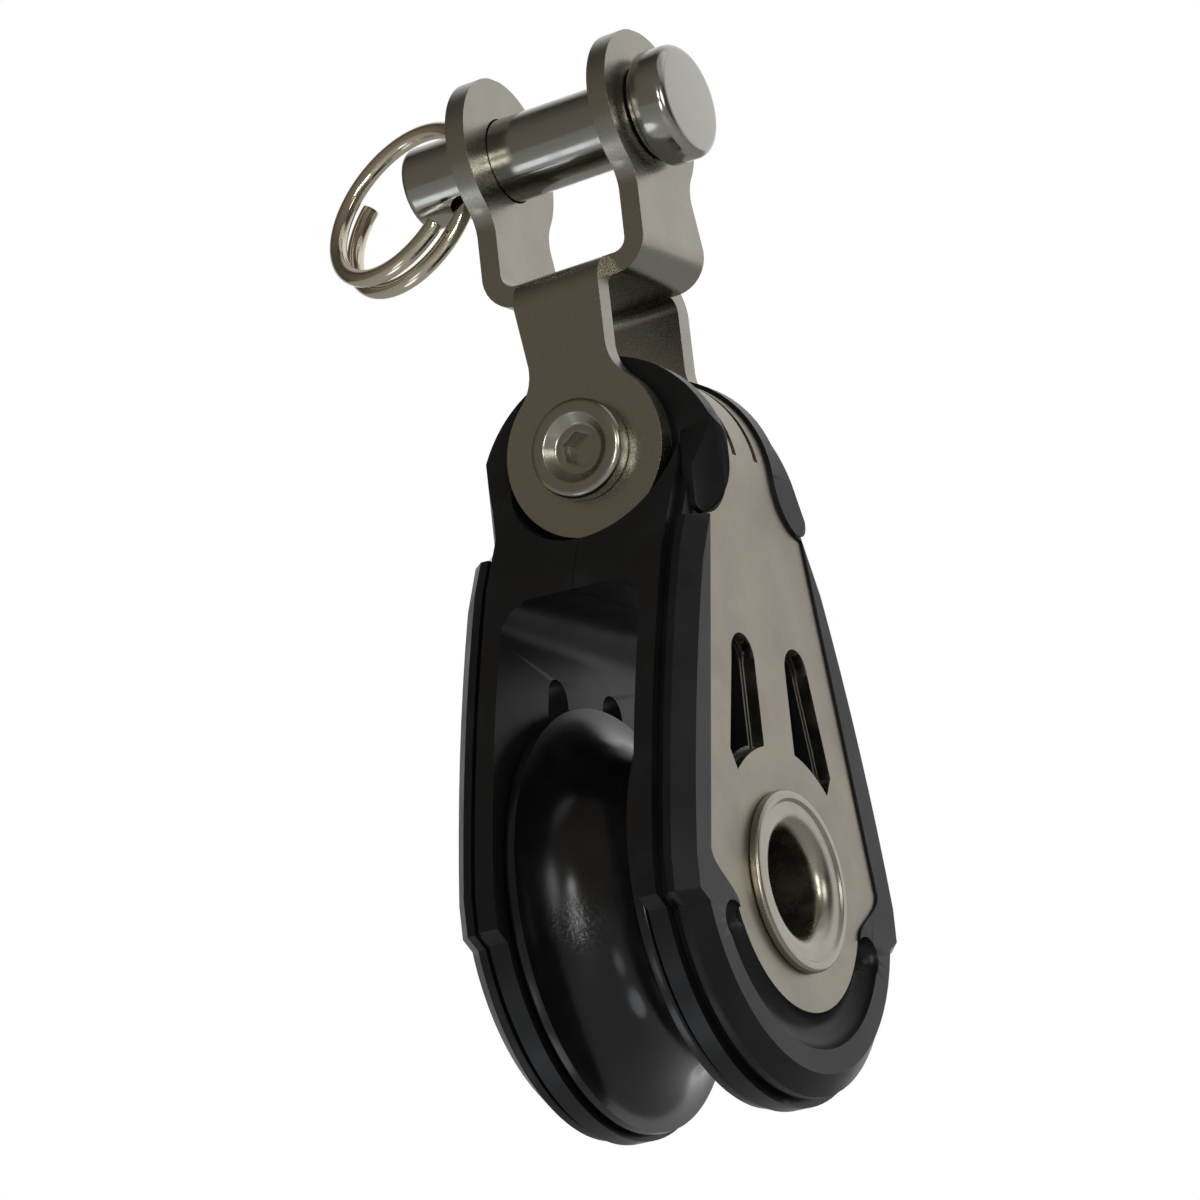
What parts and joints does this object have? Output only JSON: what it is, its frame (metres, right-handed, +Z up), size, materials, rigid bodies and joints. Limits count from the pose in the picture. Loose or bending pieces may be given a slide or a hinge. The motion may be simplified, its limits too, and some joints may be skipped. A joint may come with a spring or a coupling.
{
  "type": "sailing block",
  "caption": "Small ball-bearing sailing block: a black sheave between moulded cheeks under a steel strap, hung from a two-way toggle with a clevis pin and split ring.",
  "frame": {"origin": "centre of the clevis pin, midway between the upper ears of the toggle", "axes": "+Z up along the hung block, +X along the sheave's axle towards the pin's head, -Y towards the front, where the rope way and the pivot's headed sleeve face"},
  "size_m": [0.0324, 0.0324, 0.0774],
  "materials": {
    "brushed_stainless": "brushed",
    "brushed_strap": "brushed",
    "polished_stainless": "polished",
    "spring_wire": "polished",
    "black_nylon": "satin",
    "black_acetal": "gloss",
    "white_acetal": "satin"
  },
  "bodies": {
    "toggle": {"toggle": "brushed_stainless", "pivot_barrel": "polished_stainless", "pivot_screw": "polished_stainless"},
    "block": {"cheek_left": "black_nylon", "cheek_right": "black_nylon", "strap": "brushed_strap", "axle_tube": "polished_stainless", "inner_race": "white_acetal", "thrust_washer_left": "white_acetal", "thrust_washer_right": "white_acetal", "pivot_bush": "white_acetal", "wear_washer_front": "black_acetal", "wear_washer_rear": "black_acetal"},
    "sheave": {"sheave": "black_acetal", "race_cap_left": "black_acetal", "race_cap_right": "black_acetal"},
    "balls": {"bearing_balls_left": "white_acetal", "bearing_balls_right": "white_acetal"},
    "clevis_pin": {"clevis_pin": "polished_stainless"},
    "split_ring": {"split_ring": "spring_wire"}
  },
  "joints": [
    {"name": "block_swing", "type": "hinge", "parent": "toggle", "child": "block", "pos_m": [0.00189, 0, -0.02403], "axis": [0, 1, 0], "range_deg": [-50, 41]},
    {"name": "sheave_spin", "type": "hinge", "parent": "block", "child": "sheave", "pos_m": [0.00189, 0, -0.05553], "axis": [1, 0, 0], "continuous": true},
    {"name": "ball_orbit", "type": "hinge", "parent": "block", "child": "balls", "pos_m": [0.00189, 0, -0.05553], "axis": [1, 0, 0], "continuous": true},
    {"name": "pin_turn", "type": "hinge", "parent": "toggle", "child": "clevis_pin", "pos_m": [0, 0, 0], "axis": [0.9969, 0, 0.0785], "continuous": true},
    {"name": "ring_swing", "type": "hinge", "parent": "clevis_pin", "child": "split_ring", "pos_m": [-0.00817, 0, -0.00064], "axis": [-0.0705, 0.4384, 0.896], "range_deg": [-42, 64]}
  ],
  "couplings": [
    {"joint": "ball_orbit", "follows": "sheave_spin", "ratio": 0.589}
  ]
}
